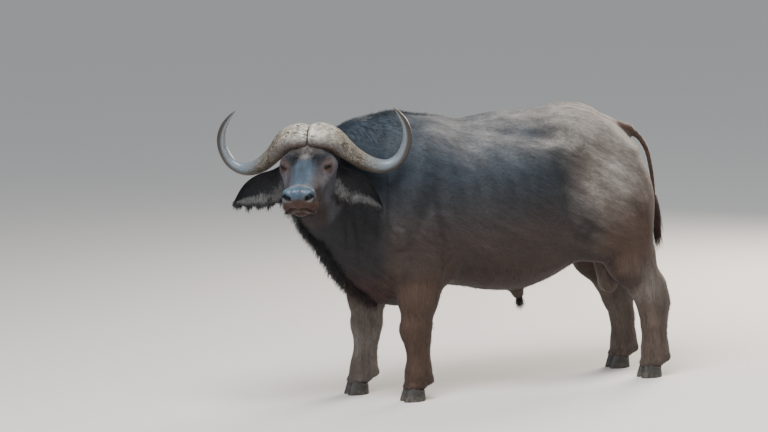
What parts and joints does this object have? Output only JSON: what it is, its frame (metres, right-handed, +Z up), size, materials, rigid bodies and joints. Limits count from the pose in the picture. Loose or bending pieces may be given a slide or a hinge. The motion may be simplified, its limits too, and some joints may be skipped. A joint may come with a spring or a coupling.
{
  "type": "african buffalo",
  "caption": "Life-size still model of an African buffalo bull standing side on, with its head turned to the left and its horns spread from a heavy boss.",
  "frame": {"origin": "on the floor under the middle of the bounding box", "axes": "+Z up; the body lies along X with the nose end towards -X, and the animal's left side faces -Y"},
  "size_m": [2.5649, 1.0401, 1.6171],
  "materials": {
    "hide": "short dark grey-brown coat over thick hide, dull, with a faint cool sheen on the shoulder and back",
    "hair": "coarse dark hair in locks",
    "horn": "pale rough bark-like boss running out into smooth grey horn with paler tips",
    "eye": "wet dark brown",
    "hoof": "dark worn horn, low gloss"
  },
  "bodies": {
    "root": {"torso": "hide", "neck": "hide", "head": "hide", "ear_left": "hide", "ear_right": "hide", "foreleg_left": "hide", "foreleg_right": "hide", "hindleg_left": "hide", "hindleg_right": "hide", "scrotum": "hide", "sheath": "hide", "tail_upper": "hide", "tail_tuft": "hair", "horn_left": "horn", "horn_right": "horn", "eye_left": "eye", "eye_right": "eye", "forehoof_left_outer": "hoof", "forehoof_left_inner": "hoof", "forehoof_right_outer": "hoof", "forehoof_right_inner": "hoof", "hindhoof_left_outer": "hoof", "hindhoof_left_inner": "hoof", "hindhoof_right_outer": "hoof", "hindhoof_right_inner": "hoof"}
  },
  "joints": []
}
